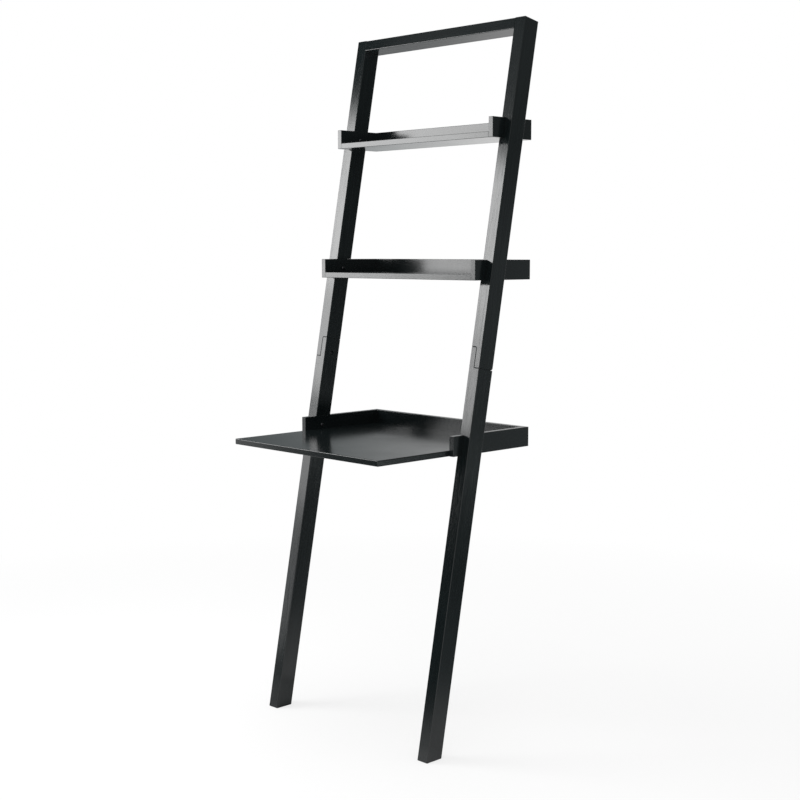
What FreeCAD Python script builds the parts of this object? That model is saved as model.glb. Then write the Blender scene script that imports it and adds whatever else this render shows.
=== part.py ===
import FreeCAD, Part
import os
import Sketcher

# Ladder desk: two rails lean on a wall and carry a desk and two shelves, each a shallow
# three-sided tray. Every rail is two lengths of timber, half-lapped, dowelled and bolted above
# the desk. The side panels of each tray are let into housings in the inner faces of the rails.
#
# Lengths are in millimetres. X runs to the right, Y towards the wall and Z up. The origin is on
# the floor, midway between the rails, and midway between the wall and the desk's front edge.
# Inside each body Y is measured from the wall, so whatever lies in front of it is negative.

# ---------------------------------------------------------------------------- driving sizes

SIZES = (
    ("overall_width", 630, "outer face to outer face of the rails"),
    ("overall_height", 1880, "floor to the front top edge of the rails"),
    ("overall_depth", 538, "wall to the front edge of the desk"),
    ("lean_angle", 10.6, "degrees that the rails lean back from upright"),
    ("rail_thickness", 35, "rail section across the desk"),
    ("rail_depth", 52, "rail section front to back, square to the rail"),
    ("rail_edge_radius", 1.5, "eased edges of the rails and the crossbar"),
    ("joint_height", 988, "lower shoulder of the half-lap, on the front face"),
    ("lap_length", 54, "length of the half-lap along the rail"),
    ("lap_clearance", 0.2, "gap between a tongue's end and the shoulder it meets"),
    ("lap_corner_radius", 3.5, "inside corner of an upper rail's lap"),
    ("heel_radius", 6.5, "rear corner at the end of an upper rail's tongue"),
    ("lap_bolt_height", 12, "bolt of a half-lap above its lower shoulder, along the rail"),
    ("counterbore_depth", 4.5, "recess for a half-lap bolt's head"),
    ("lap_dowel_drop", 14, "dowels of a half-lap below its upper shoulder, along the rail"),
    ("lap_dowel_spacing", 26, "between the two dowels of a half-lap"),
    ("lap_dowel_length", 20, "dowels of a half-lap, half of it in each tongue"),
    ("crossbar_height", 28, "crossbar section along the rail"),
    ("crossbar_drop", 1, "top of the crossbar below the ends of the rails"),
    ("side_height", 52, "side and back panels of a tray"),
    ("side_thickness", 15, "side panels, and the depth of their housings"),
    ("back_thickness", 15, "back panels"),
    ("board_thickness", 15, "shelf boards and desk board"),
    ("housing_clearance", 0.2, "above and below a side panel in its housing"),
    ("panel_edge_radius", 1, "eased edges of sides, backs and shelf boards"),
    ("desk_edge_radius", 2, "eased edges of the desk board"),
    ("top_shelf_underside", 1571, "floor to the underside of the top shelf"),
    ("top_shelf_reach", 150, "wall to the front of the top shelf"),
    ("middle_shelf_underside", 1209, "floor to the underside of the middle shelf"),
    ("middle_shelf_reach", 213, "wall to the front of the middle shelf"),
    ("desk_underside", 766, "floor to the underside of the desk"),
    ("desk_side_reach", 290, "wall to the front of the desk's side panels"),
    ("bolt_diameter", 6, "M6 shank"),
    ("bolt_length", 25, "under the head"),
    ("bolt_point", 0.6, "chamfer at the end of a bolt"),
    ("bolt_head_diameter", 10.5, "button head"),
    ("bolt_head_height", 3.3, "button head"),
    ("bolt_head_rim", 0.8, "straight rim below the dome of the head"),
    ("bolt_hole_clearance", 0.3, "around a bolt's shank"),
    ("bolt_recess_clearance", 0.5, "around a head in its counterbore"),
    ("socket_width", 4, "hexagon socket across flats"),
    ("socket_depth", 2, "hexagon socket"),
    ("insert_diameter", 9.5, "threaded insert"),
    ("insert_length", 13, "threaded insert"),
    ("insert_mouth", 0.8, "chamfer at the ends of an insert"),
    ("insert_hole_room", 1.5, "hole deeper than its insert"),
    ("insert_clearance", 0.1, "around an insert in its hole"),
    ("thread_clearance", 0.05, "around a shank in an insert"),
    ("dowel_diameter", 6, "dowels of the trays and of the half-laps"),
    ("dowel_length", 30, "dowels of the trays"),
    ("dowel_seat", 10, "part of a dowel that sits in the face of a panel"),
    ("dowel_inset", 22, "from the ends of a joint to its outer dowels"),
    ("back_dowel_inset", 90, "from the ends of a back panel to its board dowels"),
    ("crossbar_dowel_diameter", 8, "dowels of the crossbar"),
    ("crossbar_dowel_length", 40, "dowels of the crossbar"),
    ("crossbar_dowel_seat", 18, "part of a crossbar dowel that sits in the rail"),
    ("crossbar_dowel_spacing", 26, "between the two dowels of an end"),
    ("dowel_clearance", 0.1, "around a dowel in its hole"),
    ("dowel_hole_room", 0.5, "hole deeper than its dowel"),
    ("cut_overrun", 10, "how far a cut runs past the timber"),
)

TRAYS = ("top_shelf", "middle_shelf", "desk")

# Points nearer than this are one point, where edges are told apart by their place.
TOLERANCE = 0.01

# Every piece that is written to a file of its own.
NODES = []

doc = FreeCAD.newDocument("ladder_desk")
sheet = doc.addObject("Spreadsheet::Sheet", "sizes")
for row, (size_name, size_value, size_note) in enumerate(SIZES, 1):
    sheet.set(f"A{row}", size_name)
    sheet.set(f"B{row}", str(size_value))
    sheet.setAlias(f"B{row}", size_name)
    sheet.set(f"C{row}", size_note)
doc.recompute()

# Formulas that several pieces share. FreeCAD takes a plain number in sin, cos and tan as degrees.

WALL = "sizes.overall_depth / 2"
INNER_FACE = "(sizes.overall_width / 2 - sizes.rail_thickness)"
LAP_PLANE = "(sizes.rail_thickness / 2)"
UPPER_SHOULDER = "(sizes.joint_height + sizes.lap_length * cos(sizes.lean_angle))"
CROSSBAR_TOP = "(sizes.overall_height - sizes.crossbar_drop * cos(sizes.lean_angle))"
CROSSBAR_FOOT = f"({CROSSBAR_TOP} - sizes.crossbar_height * cos(sizes.lean_angle))"
CROSSBAR_MIDDLE = f"(({CROSSBAR_TOP} + {CROSSBAR_FOOT}) / 2)"
MID_SIDE = "(sizes.side_height / 2)"
MID_BACK = "(sizes.back_thickness / 2)"
MID_BOARD = "(sizes.board_thickness / 2)"
BOLT_HOLE = "(sizes.bolt_diameter + 2 * sizes.bolt_hole_clearance)"
COUNTERBORE = "(sizes.bolt_head_diameter + 2 * sizes.bolt_recess_clearance)"
INSERT_HOLE = "(sizes.insert_diameter + 2 * sizes.insert_clearance)"
INSERT_HOLE_DEPTH = "(sizes.insert_length + sizes.insert_hole_room)"
INSERT_BORE = "(sizes.bolt_diameter + 2 * sizes.thread_clearance)"
DOWEL_HOLE = "(sizes.dowel_diameter + 2 * sizes.dowel_clearance)"
END_GRAIN_HOLE = "(sizes.dowel_length - sizes.dowel_seat + sizes.dowel_hole_room)"
FACE_HOLE = "(sizes.dowel_seat + sizes.dowel_hole_room)"
BACK_DOWEL_X = f"({INNER_FACE} - sizes.back_dowel_inset)"
CROSSBAR_DOWEL_HOLE = "(sizes.crossbar_dowel_diameter + 2 * sizes.dowel_clearance)"
LAP_DOWEL_DEPTH = "(sizes.lap_dowel_length / 2 + sizes.dowel_hole_room)"


def front_of_rail(height):
    """Y of a rail's front face at a height above the floor."""
    rise = f"(sizes.overall_height - ({height}))"
    return f"(-sizes.rail_depth * cos(sizes.lean_angle) - {rise} * tan(sizes.lean_angle))"


def centre_of_rail(height):
    """Y of the middle of a rail at a height above the floor."""
    return f"({front_of_rail(height)} + sizes.rail_depth / cos(sizes.lean_angle) / 2)"


def square_to_rail(height, depth):
    """Y and Z of a point reached from the front face at a height, going in square to the rail."""
    across = f"({front_of_rail(height)} + ({depth}) * cos(sizes.lean_angle))"
    up = f"(({height}) - ({depth}) * sin(sizes.lean_angle))"
    return across, up


def slice_of_rail(low, high, overrun="0"):
    """Corners of a length of rail between two square cuts, given by their front heights."""
    near = f"-{overrun}"
    far = f"sizes.rail_depth + {overrun}"
    return (
        square_to_rail(low, near),
        square_to_rail(low, far),
        square_to_rail(high, far),
        square_to_rail(high, near),
    )


def rectangle(left, low, right, high):
    """Corners of a rectangle, from the expressions of its sides."""
    return ((left, low), (right, low), (right, high), (left, high))


# ---------------------------------------------------------------------------- modelling steps


def number(owner, expression):
    """Value of an expression, in millimetres or as a plain number."""
    value = owner.evalExpression(expression)
    return float(getattr(value, "Value", value))


def new_body(name, x="0", y=WALL, z="0"):
    """An empty body whose own frame stands at the given place."""
    body = doc.addObject("PartDesign::Body", name)
    body.Label = name
    for axis, expression in zip("xyz", (x, y, z)):
        body.setExpression(f"Placement.Base.{axis}", expression)
    return body


def new_sketch(body, name, plane, offset="0"):
    """A sketch on one of a body's own planes, moved along the plane's normal by an offset."""
    origin_plane = next(item for item in body.Origin.OriginFeatures if item.Role == plane)
    sketch = body.newObject("Sketcher::SketchObject", f"{body.Name}_{name}")
    sketch.AttachmentSupport = [(origin_plane, "")]
    sketch.MapMode = "FlatFace"
    sketch.setExpression("AttachmentOffset.Base.z", offset)
    return sketch


def bind(sketch, kind, geometry, point, expression):
    """Tie a coordinate of a sketch point to an expression."""
    value = number(sketch, expression)
    index = sketch.addConstraint(Sketcher.Constraint(kind, -1, 1, geometry, point, value))
    sketch.setExpression(f"Constraints[{index}]", expression)


def draw_outline(sketch, corners):
    """A closed outline of straight lines through corners given as pairs of expressions."""
    points = [FreeCAD.Vector(number(sketch, u), number(sketch, v), 0) for u, v in corners]
    last = len(points) - 1
    for index, start in enumerate(points):
        sketch.addGeometry(Part.LineSegment(start, points[0 if index == last else index + 1]))
    for index in range(len(points)):
        following = 0 if index == last else index + 1
        sketch.addConstraint(Sketcher.Constraint("Coincident", index, 2, following, 1))
    for index, (across, up) in enumerate(corners):
        bind(sketch, "DistanceX", index, 1, across)
        bind(sketch, "DistanceY", index, 1, up)


def draw_circles(sketch, centres, diameter):
    """Circles of one diameter round centres given as pairs of expressions."""
    radius = number(sketch, diameter) / 2
    for index, (across, up) in enumerate(centres):
        centre = FreeCAD.Vector(number(sketch, across), number(sketch, up), 0)
        sketch.addGeometry(Part.Circle(centre, FreeCAD.Vector(0, 0, 1), radius))
        bind(sketch, "DistanceX", index, 3, across)
        bind(sketch, "DistanceY", index, 3, up)
        size = sketch.addConstraint(Sketcher.Constraint("Diameter", index, 2 * radius))
        sketch.setExpression(f"Constraints[{size}]", diameter)


def pad(body, name, plane, corners, length, symmetric=False):
    """Raise a straight-sided outline into a solid."""
    sketch = new_sketch(body, f"{name}_outline", plane)
    draw_outline(sketch, corners)
    feature = body.newObject("PartDesign::Pad", f"{body.Name}_{name}")
    feature.Profile = sketch
    feature.SideType = "Symmetric" if symmetric else "One side"
    feature.setExpression("Length", length)
    doc.recompute()
    return feature


def pocket(body, name, sketch, depth, along_normal):
    """Cut a sketch into a body, and make sure that the cut took something away."""
    before = body.Shape.Volume
    feature = body.newObject("PartDesign::Pocket", f"{body.Name}_{name}")
    feature.Profile = sketch
    feature.Reversed = along_normal
    feature.setExpression("Length", depth)
    doc.recompute()
    if body.Shape.Volume >= before:
        raise RuntimeError(f"{feature.Name} cuts nothing")
    return feature


def notch(body, name, plane, corners, depth, offset="0"):
    """Cut a straight-sided recess that goes in along the plane's normal."""
    sketch = new_sketch(body, f"{name}_outline", plane, offset)
    draw_outline(sketch, corners)
    return pocket(body, name, sketch, depth, along_normal=True)


def drill(body, name, plane, centres, diameter, depth, offset="0", along_normal=True):
    """Drill round holes of one size from a plane."""
    sketch = new_sketch(body, f"{name}_centres", plane, offset)
    draw_circles(sketch, centres, diameter)
    return pocket(body, name, sketch, depth, along_normal)


def repeat_on_left(body, feature):
    """Repeat a cut of the right-hand end at the left-hand end."""
    before = body.Shape.Volume
    mirrored = body.newObject("PartDesign::Mirrored", f"{feature.Name}_left")
    mirrored.Originals = [feature]
    middle = next(item for item in body.Origin.OriginFeatures if item.Role == "YZ_Plane")
    mirrored.MirrorPlane = (middle, [""])
    body.Tip = mirrored
    doc.recompute()
    if body.Shape.Volume >= before:
        raise RuntimeError(f"{mirrored.Name} cuts nothing")


def ease_edges(body, name, radius, chosen):
    """Round the edges of a body for which chosen(edge) is true."""
    base = body.Tip
    edges = [f"Edge{n}" for n, edge in enumerate(base.Shape.Edges, 1) if chosen(edge)]
    feature = body.newObject("PartDesign::Fillet", f"{body.Name}_{name}")
    feature.Base = (base, edges)
    feature.setExpression("Radius", radius)
    doc.recompute()


def runs_along_x(edge):
    """True for an edge that runs more across the desk than up or towards the wall."""
    start, end = (vertex.Point for vertex in edge.Vertexes)
    way = end - start
    return abs(way.x) > abs(way.y) + abs(way.z)


def centred_on(across, point):
    """A test for the edge whose middle is at X = across and at a point given as (Y, Z)."""
    middle = FreeCAD.Vector(*(number(sheet, part) for part in (across, *point)))
    return lambda edge: edge.CenterOfMass.distanceToPoint(middle) < TOLERANCE


def mirror_image(source, name):
    """The left-hand copy of a right-hand piece."""
    copy = doc.addObject("Part::Mirroring", name)
    copy.Label = name
    copy.Source = source
    copy.Base = (0, 0, 0)
    copy.Normal = (1, 0, 0)
    return copy


def group(name, pieces):
    """One node of loose pieces."""
    together = doc.addObject("Part::Compound", name)
    together.Label = name
    together.Links = pieces
    return together


# ---------------------------------------------------------------------------- rails

def tray_bolt_point(tray):
    """Centre of a tray's bolt: in the middle of the rail, halfway up the side panel."""
    height = f"(sizes.{tray}_underside + {MID_SIDE})"
    return centre_of_rail(height), height


def lap_point(along, depth):
    """A point of a half-lap: along the rail from the lower shoulder, and in from the front."""
    return square_to_rail(f"(sizes.joint_height + {along} * cos(sizes.lean_angle))", depth)


def either_side(spacing):
    """How far in from the front a pair of dowels lies, one each side of the rail's middle line."""
    return [f"(sizes.rail_depth / 2 {sign} {spacing} / 2)" for sign in ("-", "+")]


def lap_bolt_points():
    """Centre of the bolt of a half-lap, on the middle line of the rail."""
    return [lap_point("sizes.lap_bolt_height", "sizes.rail_depth / 2")]


def lap_dowel_points():
    """Centres of the two dowels of a half-lap, one behind the other."""
    along = "(sizes.lap_length - sizes.lap_dowel_drop)"
    return [lap_point(along, depth) for depth in either_side("sizes.lap_dowel_spacing")]


def crossbar_dowel_points():
    """Centres of the two dowels of a crossbar end, one behind the other."""
    depths = either_side("sizes.crossbar_dowel_spacing")
    return [square_to_rail(CROSSBAR_MIDDLE, depth) for depth in depths]


def lap_corner(height):
    """A test for the edge across the lap plane's end, where the front face is at a height."""
    return centred_on(LAP_PLANE, square_to_rail(height, "sizes.rail_depth / 2"))


def house_sides(rail, trays):
    """Cut the level housings for the trays' side panels, with a hole for an insert in each."""
    for tray in trays:
        low = f"(sizes.{tray}_underside - sizes.housing_clearance)"
        high = f"(sizes.{tray}_underside + sizes.side_height + sizes.housing_clearance)"
        front = f"({front_of_rail(low)} - sizes.cut_overrun)"
        back = f"({centre_of_rail(high)} + sizes.rail_depth + sizes.cut_overrun)"
        opening = rectangle(front, low, back, high)
        notch(rail, f"{tray}_housing", "YZ_Plane", opening, "sizes.side_thickness")
        drill(
            rail,
            f"{tray}_insert_hole",
            "YZ_Plane",
            [tray_bolt_point(tray)],
            INSERT_HOLE,
            INSERT_HOLE_DEPTH,
            "sizes.side_thickness",
        )


def make_upper_rail():
    """Upper right rail: its outer half runs on downwards as the tongue of the half-lap."""
    rail = new_body("upper_right_rail", x=INNER_FACE)
    tongue_end = "(sizes.joint_height + sizes.lap_clearance)"
    outline = slice_of_rail(tongue_end, "sizes.overall_height")
    pad(rail, "timber", "YZ_Plane", outline, "sizes.rail_thickness")
    below = "(sizes.joint_height - sizes.cut_overrun)"
    inner_half = slice_of_rail(below, UPPER_SHOULDER, "sizes.cut_overrun")
    notch(rail, "lap", "YZ_Plane", inner_half, LAP_PLANE)
    ease_edges(rail, "lap_corner", "sizes.lap_corner_radius", lap_corner(UPPER_SHOULDER))
    mid_tongue = f"(({LAP_PLANE} + sizes.rail_thickness) / 2)"
    heel = centred_on(mid_tongue, square_to_rail(tongue_end, "sizes.rail_depth"))
    ease_edges(rail, "heel", "sizes.heel_radius", heel)
    ease_edges(rail, "eased_edges", "sizes.rail_edge_radius", lambda edge: True)
    house_sides(rail, ("top_shelf", "middle_shelf"))
    bolts = lap_bolt_points()
    drill(rail, "lap_insert_hole", "YZ_Plane", bolts, INSERT_HOLE, INSERT_HOLE_DEPTH, LAP_PLANE)
    pins = lap_dowel_points()
    drill(rail, "lap_dowel_holes", "YZ_Plane", pins, DOWEL_HOLE, LAP_DOWEL_DEPTH, LAP_PLANE)
    pins = crossbar_dowel_points()
    depth = "(sizes.crossbar_dowel_seat + sizes.dowel_hole_room)"
    drill(rail, "crossbar_dowel_holes", "YZ_Plane", pins, CROSSBAR_DOWEL_HOLE, depth)
    return rail


def make_lower_rail():
    """Lower right rail: a level foot, and the inner half runs up as its tongue."""
    rail = new_body("lower_right_rail", x=INNER_FACE)
    tongue_end = f"({UPPER_SHOULDER} - sizes.lap_clearance)"
    foot_front = front_of_rail("0")
    foot_back = f"({foot_front} + sizes.rail_depth / cos(sizes.lean_angle))"
    outline = (
        (foot_front, "0"),
        (foot_back, "0"),
        square_to_rail(tongue_end, "sizes.rail_depth"),
        square_to_rail(tongue_end, "0"),
    )
    pad(rail, "timber", "YZ_Plane", outline, "sizes.rail_thickness")
    above = f"({UPPER_SHOULDER} + sizes.cut_overrun)"
    outer_half = slice_of_rail("sizes.joint_height", above, "sizes.cut_overrun")
    notch(rail, "lap", "YZ_Plane", outer_half, "sizes.rail_thickness", LAP_PLANE)
    corner_radius = "sizes.lap_corner_radius + sizes.lap_clearance"
    ease_edges(rail, "tongue_corner", corner_radius, lap_corner(tongue_end))
    inside = lap_corner("sizes.joint_height")
    ease_edges(rail, "eased_edges", "sizes.rail_edge_radius", lambda edge: not inside(edge))
    house_sides(rail, ("desk",))
    bolts = lap_bolt_points()
    drill(rail, "lap_bolt_hole", "YZ_Plane", bolts, BOLT_HOLE, LAP_PLANE)
    drill(rail, "lap_counterbore", "YZ_Plane", bolts, COUNTERBORE, "sizes.counterbore_depth")
    drill(
        rail,
        "lap_dowel_holes",
        "YZ_Plane",
        lap_dowel_points(),
        DOWEL_HOLE,
        LAP_DOWEL_DEPTH,
        LAP_PLANE,
        along_normal=False,
    )
    return rail


def make_crossbar():
    """Crossbar between the tops of the rails, as deep as they are and square to them."""
    bar = new_body("top_crossbar")
    outline = slice_of_rail(CROSSBAR_FOOT, CROSSBAR_TOP)
    pad(bar, "timber", "YZ_Plane", outline, f"2 * {INNER_FACE}", symmetric=True)
    ease_edges(bar, "eased_edges", "sizes.rail_edge_radius", runs_along_x)
    holes = drill(
        bar,
        "dowel_holes",
        "YZ_Plane",
        crossbar_dowel_points(),
        CROSSBAR_DOWEL_HOLE,
        "(sizes.crossbar_dowel_length - sizes.crossbar_dowel_seat + sizes.dowel_hole_room)",
        INNER_FACE,
        along_normal=False,
    )
    repeat_on_left(bar, holes)
    return bar


upper_rail = make_upper_rail()
lower_rail = make_lower_rail()
NODES += [
    upper_rail,
    lower_rail,
    mirror_image(upper_rail, "upper_left_rail"),
    mirror_image(lower_rail, "lower_left_rail"),
    make_crossbar(),
]

# ---------------------------------------------------------------------------- trays


def side_dowel_points(reach):
    """Centres of the dowels that join a tray's side panel to its board and to its back."""
    rear = "(-sizes.back_thickness - sizes.dowel_inset)"
    front = f"(-{reach} + sizes.dowel_inset)"
    board_points = [(front, MID_BOARD), (rear, MID_BOARD)]
    back_points = [
        (f"-{MID_BACK}", "sizes.side_height / 4"),
        (f"-{MID_BACK}", "sizes.side_height * 3 / 4"),
    ]
    return board_points, back_points


def make_side(tray, reach):
    """Right side panel, let into the rail and bolted through to the insert behind it."""
    side = new_body(f"{tray}_right_side", x=INNER_FACE, z=f"sizes.{tray}_underside")
    outline = rectangle(f"-{reach}", "0", "0", "sizes.side_height")
    pad(side, "panel", "YZ_Plane", outline, "sizes.side_thickness")
    ease_edges(side, "eased_edges", "sizes.panel_edge_radius", lambda edge: True)
    bolt_depth, _ = tray_bolt_point(tray)
    drill(
        side,
        "bolt_hole",
        "YZ_Plane",
        [(bolt_depth, MID_SIDE)],
        BOLT_HOLE,
        "sizes.side_thickness",
    )
    board_points, back_points = side_dowel_points(reach)
    drill(side, "dowel_holes", "YZ_Plane", board_points + back_points, DOWEL_HOLE, FACE_HOLE)
    return side


def make_board(tray, side_reach, board_reach, edge_radius, eased):
    """Shelf board or desk board, flat between the sides and in front of the back."""
    board = new_body(f"{tray}_board", z=f"sizes.{tray}_underside")
    outline = rectangle(f"-{INNER_FACE}", f"-{board_reach}", INNER_FACE, "-sizes.back_thickness")
    pad(board, "panel", "XY_Plane", outline, "sizes.board_thickness")
    ease_edges(board, "eased_edges", edge_radius, eased)
    board_points, _ = side_dowel_points(side_reach)
    ends = drill(
        board,
        "side_dowel_holes",
        "YZ_Plane",
        board_points,
        DOWEL_HOLE,
        END_GRAIN_HOLE,
        INNER_FACE,
        along_normal=False,
    )
    repeat_on_left(board, ends)
    rear = drill(
        board,
        "back_dowel_holes",
        "XZ_Plane",
        [(BACK_DOWEL_X, MID_BOARD)],
        DOWEL_HOLE,
        END_GRAIN_HOLE,
        "sizes.back_thickness",
    )
    repeat_on_left(board, rear)
    return board


def make_back(tray):
    """Back panel between the sides, against the wall."""
    back = new_body(f"{tray}_back", z=f"sizes.{tray}_underside")
    outline = rectangle(f"-{INNER_FACE}", "0", INNER_FACE, "sizes.side_height")
    pad(back, "panel", "XZ_Plane", outline, "sizes.back_thickness")

    def top_edge(edge):
        at_top = edge.CenterOfMass.z > number(sheet, "sizes.side_height") - TOLERANCE
        return at_top and runs_along_x(edge)

    ease_edges(back, "eased_edges", "sizes.panel_edge_radius", top_edge)
    _, back_points = side_dowel_points("0")
    ends = drill(
        back,
        "side_dowel_holes",
        "YZ_Plane",
        back_points,
        DOWEL_HOLE,
        END_GRAIN_HOLE,
        INNER_FACE,
        along_normal=False,
    )
    repeat_on_left(back, ends)
    front = drill(
        back,
        "board_dowel_holes",
        "XZ_Plane",
        [(BACK_DOWEL_X, MID_BOARD)],
        DOWEL_HOLE,
        FACE_HOLE,
        "sizes.back_thickness",
        along_normal=False,
    )
    repeat_on_left(back, front)
    return back


def shelf_front_edge(edge):
    """True for the two long edges at the front of a shelf board."""
    at_back = abs(edge.CenterOfMass.y + number(sheet, "sizes.back_thickness")) < TOLERANCE
    return runs_along_x(edge) and not at_back


def desk_outer_edge(edge):
    """True for every edge of the desk board but those against the back panel."""
    back = -number(sheet, "sizes.back_thickness")
    return any(abs(vertex.Point.y - back) > TOLERANCE for vertex in edge.Vertexes)


for tray_name in TRAYS:
    if tray_name == "desk":
        side_length = "sizes.desk_side_reach"
        board_length = "sizes.overall_depth"
        board_edge = ("sizes.desk_edge_radius", desk_outer_edge)
    else:
        side_length = f"sizes.{tray_name}_reach"
        board_length = side_length
        board_edge = ("sizes.panel_edge_radius", shelf_front_edge)
    right_side = make_side(tray_name, side_length)
    NODES += [
        right_side,
        mirror_image(right_side, f"{tray_name}_left_side"),
        make_board(tray_name, side_length, board_length, *board_edge),
        make_back(tray_name),
    ]

# ---------------------------------------------------------------------------- dowels


def dowel(name, length, diameter, turn, place):
    """A dowel pin along X or Y, starting at a place given as three expressions."""
    pin = doc.addObject("Part::Cylinder", name)
    pin.setExpression("Radius", f"{diameter} / 2")
    pin.setExpression("Height", length)
    pin.Placement = FreeCAD.Placement(FreeCAD.Vector(0, 0, 0), turn)
    for axis, expression in zip("xyz", place):
        pin.setExpression(f"Placement.Base.{axis}", expression)
    return pin


ALONG_X = FreeCAD.Rotation(FreeCAD.Vector(0, 1, 0), 90)
ALONG_Y = FreeCAD.Rotation(FreeCAD.Vector(1, 0, 0), -90)


def with_left_copies(pins):
    """The dowels of the right-hand side and their mirror images."""
    return pins + [mirror_image(pin, f"{pin.Name}_left") for pin in pins]


def make_rail_dowels(name, start, length, diameter, points):
    """Dowels across both rails, starting at X = start at points given as (Y, Z)."""
    pins = [
        dowel(f"{name}_{index}", length, diameter, ALONG_X, (start, f"{WALL} + {across}", up))
        for index, (across, up) in enumerate(points, 1)
    ]
    return group(name, with_left_copies(pins))


def make_tray_dowels(tray, reach):
    """Dowels of one tray: side to board, side to back, and back to board."""
    board_points, back_points = side_dowel_points(reach)
    start = f"({INNER_FACE} + sizes.dowel_seat - sizes.dowel_length)"
    underside = f"sizes.{tray}_underside"
    pins = [
        dowel(
            f"{tray}_side_dowel_{index}",
            "sizes.dowel_length",
            "sizes.dowel_diameter",
            ALONG_X,
            (start, f"{WALL} + {across}", f"{underside} + {up}"),
        )
        for index, (across, up) in enumerate(board_points + back_points, 1)
    ]
    rear_end = f"({WALL} - sizes.back_thickness + sizes.dowel_seat)"
    pins.append(
        dowel(
            f"{tray}_back_dowel",
            "sizes.dowel_length",
            "sizes.dowel_diameter",
            ALONG_Y,
            (BACK_DOWEL_X, f"{rear_end} - sizes.dowel_length", f"{underside} + {MID_BOARD}"),
        )
    )
    return group(f"{tray}_dowels", with_left_copies(pins))


NODES += [
    make_rail_dowels(
        "crossbar_dowels",
        f"({INNER_FACE} + sizes.crossbar_dowel_seat - sizes.crossbar_dowel_length)",
        "sizes.crossbar_dowel_length",
        "sizes.crossbar_dowel_diameter",
        crossbar_dowel_points(),
    ),
    make_rail_dowels(
        "rail_joint_dowels",
        f"({INNER_FACE} + {LAP_PLANE} - sizes.lap_dowel_length / 2)",
        "sizes.lap_dowel_length",
        "sizes.dowel_diameter",
        lap_dowel_points(),
    ),
    make_tray_dowels("top_shelf", "sizes.top_shelf_reach"),
    make_tray_dowels("middle_shelf", "sizes.middle_shelf_reach"),
    make_tray_dowels("desk", "sizes.desk_side_reach"),
]

# ---------------------------------------------------------------------------- bolts and inserts


def turned_body(name, corners):
    """A body of revolution about Z, from its half outline of (radius, height) expressions."""
    body = new_body(name, y="0")
    sketch = new_sketch(body, "profile", "XZ_Plane")
    draw_outline(sketch, corners)
    turned = body.newObject("PartDesign::Revolution", f"{name}_turned")
    turned.Profile = sketch
    turned.ReferenceAxis = (sketch, ["V_Axis"])
    turned.Angle = 360
    doc.recompute()
    return body


def make_bolt():
    """Button-head bolt: head above the XY plane, shank below it, hexagon socket in the top."""
    head = "sizes.bolt_head_diameter / 2"
    shank = "sizes.bolt_diameter / 2"
    end = "-sizes.bolt_length"
    profile = (
        ("0", end),
        (f"{shank} - sizes.bolt_point", end),
        (shank, f"{end} + sizes.bolt_point"),
        (shank, "0"),
        (head, "0"),
        (head, "sizes.bolt_head_height"),
        ("0", "sizes.bolt_head_height"),
    )
    bolt = turned_body("one_bolt", profile)
    top = number(sheet, "sizes.bolt_head_height")
    dome = "sizes.bolt_head_height - sizes.bolt_head_rim"
    ease_edges(bolt, "dome", dome, lambda edge: edge.BoundBox.ZMin > top - TOLERANCE)
    corner = "sizes.socket_width / sqrt(3)"
    flat = "sizes.socket_width / 2"
    hexagon = (
        (corner, "0"),
        (f"{corner} / 2", flat),
        (f"-{corner} / 2", flat),
        (f"-{corner}", "0"),
        (f"-{corner} / 2", f"-{flat}"),
        (f"{corner} / 2", f"-{flat}"),
    )
    socket = new_sketch(bolt, "socket_outline", "XY_Plane", "sizes.bolt_head_height")
    draw_outline(socket, hexagon)
    pocket(bolt, "socket", socket, "sizes.socket_depth", along_normal=False)
    return bolt


def make_insert():
    """Threaded insert: a sleeve that fills its hole from the mouth, at Z = 0, downwards."""
    outside = "sizes.insert_diameter / 2"
    inside = f"{INSERT_BORE} / 2"
    end = "-sizes.insert_length"
    profile = (
        (inside, end),
        (f"{outside} - sizes.insert_mouth", end),
        (outside, f"{end} + sizes.insert_mouth"),
        (outside, "-sizes.insert_mouth"),
        (f"{outside} - sizes.insert_mouth", "0"),
        (inside, "0"),
    )
    return turned_body("one_insert", profile)


# Each side of the desk: the sign of X there, and the turn that points a bolt's head inwards.
HANDS = (
    ("right", "", FreeCAD.Rotation(FreeCAD.Vector(0, 1, 0), -90)),
    ("left", "-", FreeCAD.Rotation(FreeCAD.Vector(0, 1, 0), 90)),
)


def copies(pattern_piece, name, depth, points):
    """Linked copies of a fastener in both rails, at points given as (Y, Z).

    Each copy points outwards and starts at a depth below the inner face of its rail.
    """
    links = []
    for hand, sign, turn in HANDS:
        for index, (across, up) in enumerate(points, 1):
            link = doc.addObject("App::Link", f"{name}_{hand}_{index}")
            link.LinkedObject = pattern_piece
            link.Placement = FreeCAD.Placement(FreeCAD.Vector(0, 0, 0), turn)
            link.setExpression("Placement.Base.x", f"{sign}({INNER_FACE} + {depth})")
            link.setExpression("Placement.Base.y", f"{WALL} + {across}")
            link.setExpression("Placement.Base.z", up)
            links.append(link)
    return links


one_bolt = make_bolt()
one_insert = make_insert()

lap_bolts = copies(one_bolt, "lap_bolt", "sizes.counterbore_depth", lap_bolt_points())
lap_inserts = copies(one_insert, "lap_insert", LAP_PLANE, lap_bolt_points())
NODES += [group("rail_joint_bolts", lap_bolts), group("rail_joint_inserts", lap_inserts)]

for tray_name in TRAYS:
    points = [tray_bolt_point(tray_name)]
    tray_bolt = copies(one_bolt, f"{tray_name}_bolt", "0", points)
    tray_insert = copies(one_insert, f"{tray_name}_insert", "sizes.side_thickness", points)
    NODES += [
        group(f"{tray_name}_bolts", tray_bolt),
        group(f"{tray_name}_inserts", tray_insert),
    ]

# ---------------------------------------------------------------------------- checks and files

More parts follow.
